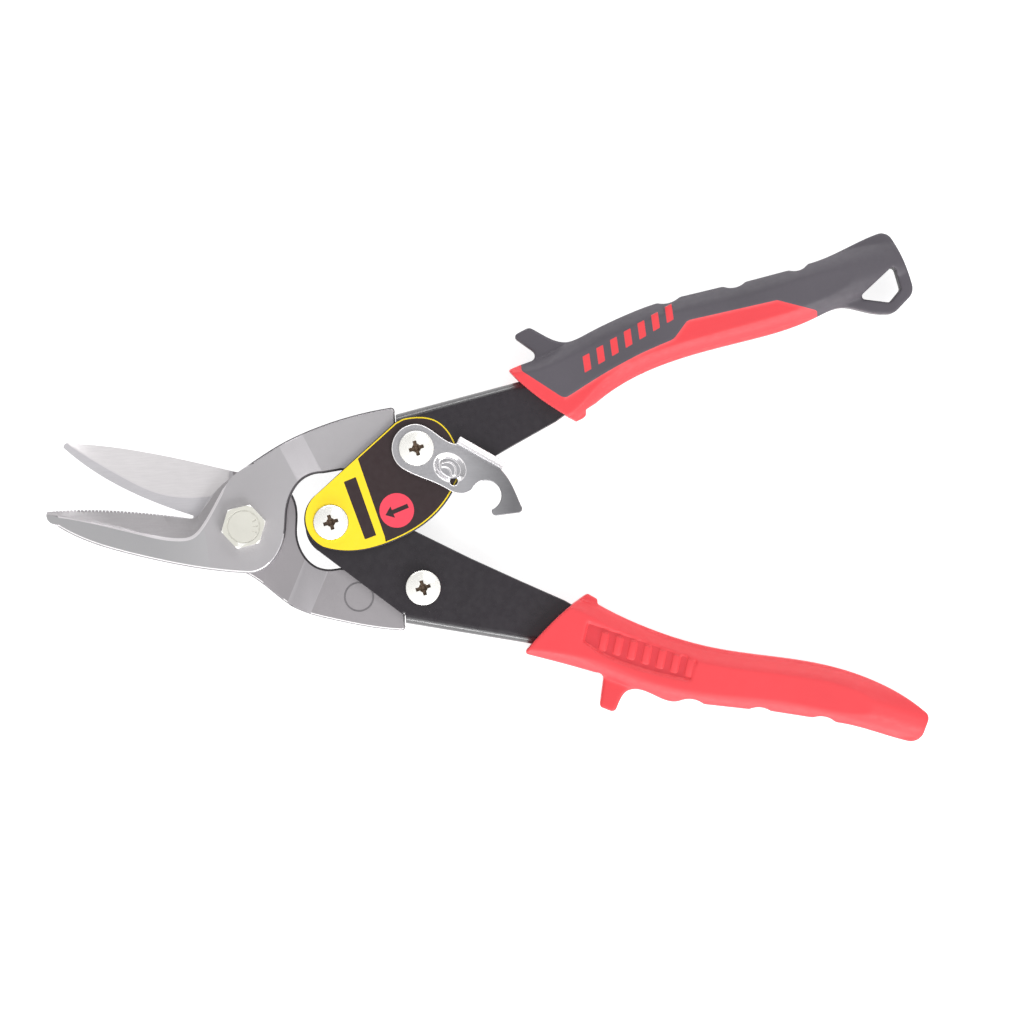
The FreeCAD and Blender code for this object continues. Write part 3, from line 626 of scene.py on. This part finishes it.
# ---- label: printed film on the broad cheek ----
INK = 0.012                 # thickness of one layer of print
SPLIT = ((32.4, 17.6), (39.5, -6.7))
BORDER = 0.35
BAR = ((28.3, 11.0), (31.7, 12.2), (36.6, -4.2), (33.4, -5.2))
DISC = (42.6, 2.4)
DISC_R = 4.8
ARROW_LENGTH = 6.8
ARROW_HEAD = (2.2, 1.7)     # length and half width
ARROW_SHAFT = 0.6           # half width
ARROW_TURN = math.radians(20)


def dark_field():
    """Right part of the film's face, inside a thin yellow border."""
    work = bmesh.new()
    work.from_mesh(frame["nodes"]["front_label"].data)
    work.normal_update()
    bmesh.ops.delete(work, geom=[f for f in work.faces if f.normal.z < 0.9], context="FACES")
    bmesh.ops.remove_doubles(work, verts=work.verts, dist=WELD)
    top, foot = (at(*p, FILM_TOP) for p in SPLIT)
    along = (foot - top).normalized()
    away = Vector((-along.y, along.x, 0))
    bmesh.ops.bisect_plane(work, geom=work.verts[:] + work.edges[:] + work.faces[:], dist=0.0000005,
                           plane_co=top - away * BORDER / 1000, plane_no=away, clear_inner=True)
    rim = bmesh.ops.inset_region(work, faces=work.faces[:], thickness=BORDER / 1000, use_boundary=True,
                                 use_even_offset=True)
    bmesh.ops.delete(work, geom=rim["faces"], context="FACES")
    raise_points(bmesh.ops.extrude_face_region(work, geom=work.faces[:]), INK)
    bmesh.ops.recalc_face_normals(work, faces=work.faces)
    mesh = bpy.data.meshes.new("label_dark_field")
    work.to_mesh(mesh)
    work.free()
    return mesh


def arrow():
    """Plain block arrow on the disc."""
    half = ARROW_LENGTH / 2
    neck = ARROW_HEAD[0] - half
    wide, narrow = ARROW_HEAD[1], ARROW_SHAFT
    shape = ((-half, 0), (neck, wide), (neck, narrow), (half, narrow), (half, -narrow), (neck, -narrow),
             (neck, -wide))
    c, s = math.cos(ARROW_TURN), math.sin(ARROW_TURN)
    return [(DISC[0] + u * c - v * s, DISC[1] + u * s + v * c) for u, v in shape]


def printed(name, outline, sunk, layers):
    """Flat mark from some way inside the film up to a number of ink layers above it."""
    return plates(name, [outline], FILM_TOP - sunk, FILM_TOP + layers * INK)


def on_film(name, mesh, material):
    finished(new_object(name, mesh, material), "upper_handle", "label_film")


refined("front_label", "label_film", "label_film", FILM_YELLOW, bevel=0.02, merge=0.01)
on_film("label_dark_field", dark_field(), FILM_BLACK)
on_film("label_bar", printed("label_bar", bent(BAR, 0.25), 0.05, 1), FILM_BLACK)
on_film("label_disc", printed("label_disc", circle(*DISC, DISC_R), 0, 2), FILM_RED)
on_film("label_arrow", printed("label_arrow", arrow(), 0, 3), FILM_BLACK)


# ---- moulded grips ----
VOXEL = 0.36
SKIN_ROUNDS = 5
MARKS = 7                   # bars on the upper grip, ribs on the lower one
COLOUR_LINE = ((78.9, 41.6, 0.2), (79.1, 39.3), (90.6, 31.0, 1.6), (102.1, 37.7, 6), (113.0, 42.9, 6),
               (121.6, 46.0, 1.2), (125.6, 51.0, 1.0), (150.7, 55.4, 0.5), (161.6, 52.0, 0.5),
               (162.0, 40.0, 0.2), (205.0, 40.0), (205.0, 90.0), (60.0, 90.0), (60.0, 41.6))
BAR_START = (96.5, 37.9)
BAR_STEP = (3.9, 2.1)
BAR_SHAPE = ((0, 0), (1.9, 1.0), (1.5, 5.4), (-0.4, 4.5))
BAR_DEPTH = 2.5
PANEL = ((94.1, -31.3), (123.4, -43.2), (121.4, -48.2), (110.4, -45.2, 6), (100.5, -41.3, 6),
         (92.9, -36.4))
PANEL_DEPTH = 0.8
RIB_START = (96.6, -38.6)
RIB_STEP = (3.9, -1.42)
RIB_SHAPE = ((0, 0), (1.7, -0.6), (2.9, 4.0), (1.2, 4.6))


def skin(name, nodes):
    """One closed skin round some CAD solids, relaxed so that every moulded edge is round."""
    joined = bmesh.new()
    for node in nodes:
        joined.from_mesh(frame["nodes"][node].data)
    mesh = bpy.data.meshes.new(name)
    joined.to_mesh(mesh)
    joined.free()
    obj = new_object(name, mesh)
    remesh = obj.modifiers.new("remesh", "REMESH")
    remesh.mode = "VOXEL"
    remesh.voxel_size = VOXEL / 1000
    smooth = obj.modifiers.new("smooth", "SMOOTH")
    smooth.factor = 0.5
    smooth.iterations = SKIN_ROUNDS
    obj.data = applied(obj)
    return obj


def combined(name, base, cutter, operation):
    """New object from two closed ones."""
    obj = new_object(name, base.data.copy())
    step = obj.modifiers.new("combine", "BOOLEAN")
    step.operation = operation
    step.solver = "EXACT"
    step.object = cutter
    obj.data = applied(obj)
    return obj


def row(shape, start, step, reach):
    """Copies of a small outline in a slanted row."""
    outlines = []
    for k in range(MARKS):
        x = start[0] + step[0] * k
        y = start[1] + step[1] * k
        outlines.append(bent([(x + u, y + v) for u, v in shape], reach))
    return outlines


def upper_grip():
    """Red core and black second shot, parted along the colour line, with red bars let into the black."""
    whole = skin("upper_grip_skin", ["upper_grip_core", "upper_grip_overmould"])
    zone = new_object("zone", plates("zone", [bent(COLOUR_LINE, 0.5)], -20, 20))
    bars = row(BAR_SHAPE, BAR_START, BAR_STEP, 0.25)
    windows = new_object("windows", plates("windows", bars, GRIP_HALF - BAR_DEPTH, GRIP_HALF + 4))
    dark = combined("upper_grip_dark", whole, zone, "INTERSECT")
    black = combined("upper_grip_black", dark, windows, "DIFFERENCE")
    inlay = combined("upper_grip_inlay", dark, windows, "INTERSECT")
    red = combined("upper_grip_red", whole, zone, "DIFFERENCE")
    for obj in (whole, zone, windows, dark):
        bpy.data.objects.remove(obj)
    for obj, material, slot, replaced in ((black, BLACK, "black_rubber", ["upper_grip_overmould"]),
                                          (red, RED, "red_vinyl", ["upper_grip_core"]),
                                          (inlay, RED, "red_vinyl", [])):
        obj.data.materials.clear()
        obj.data.materials.append(material)
        finished(obj, "upper_handle", slot, *replaced, angle=50)


def lower_grip():
    """Red grip with a rougher sunk panel and a row of ribs on it."""
    obj = skin("lower_grip_red", ["lower_grip"])
    obj.data.materials.append(RED)
    finished(obj, "lower_handle", "red_vinyl", "lower_grip", angle=60)
    floor_z = GRIP_HALF - PANEL_DEPTH
    field = plates("lower_grip_panel", [bent(PANEL, 0.5)], floor_z - 0.5, floor_z + 0.12)
    finished(new_object("lower_grip_panel", field, RED_DEEP), "lower_handle", "red_vinyl")
    ribs = row(RIB_SHAPE, RIB_START, RIB_STEP, 0.3)
    mesh = plates("lower_grip_ribs", ribs, floor_z - 0.3, GRIP_HALF - 0.15, bevel=0.12)
    finished(new_object("lower_grip_ribs", mesh, RED), "lower_handle", "red_vinyl")


upper_grip()
lower_grip()

# ---- floor, light and camera, in metres ----
FLOOR_HALF = 3
FLOOR_GREY = 0.55
FLOOR_GLOW = 0.75


def pale_floor():
    mesh = bpy.data.meshes.new("floor")
    corners = [(x * FLOOR_HALF, y * FLOOR_HALF, 0) for x, y in ((-1, -1), (1, -1), (1, 1), (-1, 1))]
    mesh.from_pydata(corners, [], [(0, 1, 2, 3)])
    s = Shader("pale_floor", (FLOOR_GREY,) * 3, 0.9, Emission_Color=(1, 1, 1, 1),
               Emission_Strength=FLOOR_GLOW)
    s.paint(s.mix(s.noise(3, 2), (FLOOR_GREY - 0.005,) * 3, (FLOOR_GREY + 0.005,) * 3))
    return new_object("floor", mesh, s.material)


floor = pale_floor()


def area_light(name, position, size, power):
    """Soft light aimed at the middle of the tool."""
    light = bpy.data.lights.new(name, "AREA")
    light.shape = "RECTANGLE"
    light.size = size[0]
    light.size_y = size[1]
    light.energy = power
    lamp = bpy.data.objects.new(name, light)
    lamp.location = position
    lamp.rotation_euler = (-Vector(position)).to_track_quat("-Z", "Y").to_euler()
    bpy.context.scene.collection.objects.link(lamp)


area_light("soft_key", (0.45, -0.75, 1.15), (0.6, 0.6), 8)
area_light("soft_fill", (0.5, 0.8, 1.2), (0.7, 0.5), 4)
area_light("low_strip_front", (0.0, -1.0, 0.30), (1.6, 0.22), 9)
area_light("low_strip_back", (0.0, 1.0, 0.30), (1.6, 0.22), 6)


def studio():
    """White tent, brighter on the side that the lower grip points to."""
    world = bpy.data.worlds.new("studio")
    world.use_nodes = True
    tree = world.node_tree
    direction = tree.nodes.new("ShaderNodeTexCoord").outputs["Generated"]
    axes = tree.nodes.new("ShaderNodeSeparateXYZ")
    tree.links.new(direction, axes.inputs["Vector"])
    ramp = tree.nodes.new("ShaderNodeMapRange")
    for key, number in (("From Min", -1), ("From Max", 1), ("To Min", 0.88), ("To Max", 0.38)):
        ramp.inputs[key].default_value = number
    tree.links.new(axes.outputs["Y"], ramp.inputs["Value"])
    tree.links.new(ramp.outputs["Result"], tree.nodes["Background"].inputs["Color"])
    bpy.context.scene.world = world


studio()
bpy.context.scene.view_settings.view_transform = "Standard"

ROLL = 2.8                  # degrees
DISTANCE = 2.5
WIDTH = 0.2847              # of the picture, at the level below
PICTURE_LEVEL = 0.010
SENSOR = 36                 # millimetres
centre = at(74.5, 0.4)
lens = bpy.data.cameras.new("camera")
lens.sensor_width = SENSOR
lens.lens = SENSOR * (DISTANCE - PICTURE_LEVEL) / WIDTH
camera = bpy.data.objects.new("camera", lens)
camera.location = (centre.x, centre.y, DISTANCE)
camera.rotation_euler = (0, 0, math.radians(-ROLL))
bpy.context.scene.collection.objects.link(camera)
bpy.context.scene.camera = camera
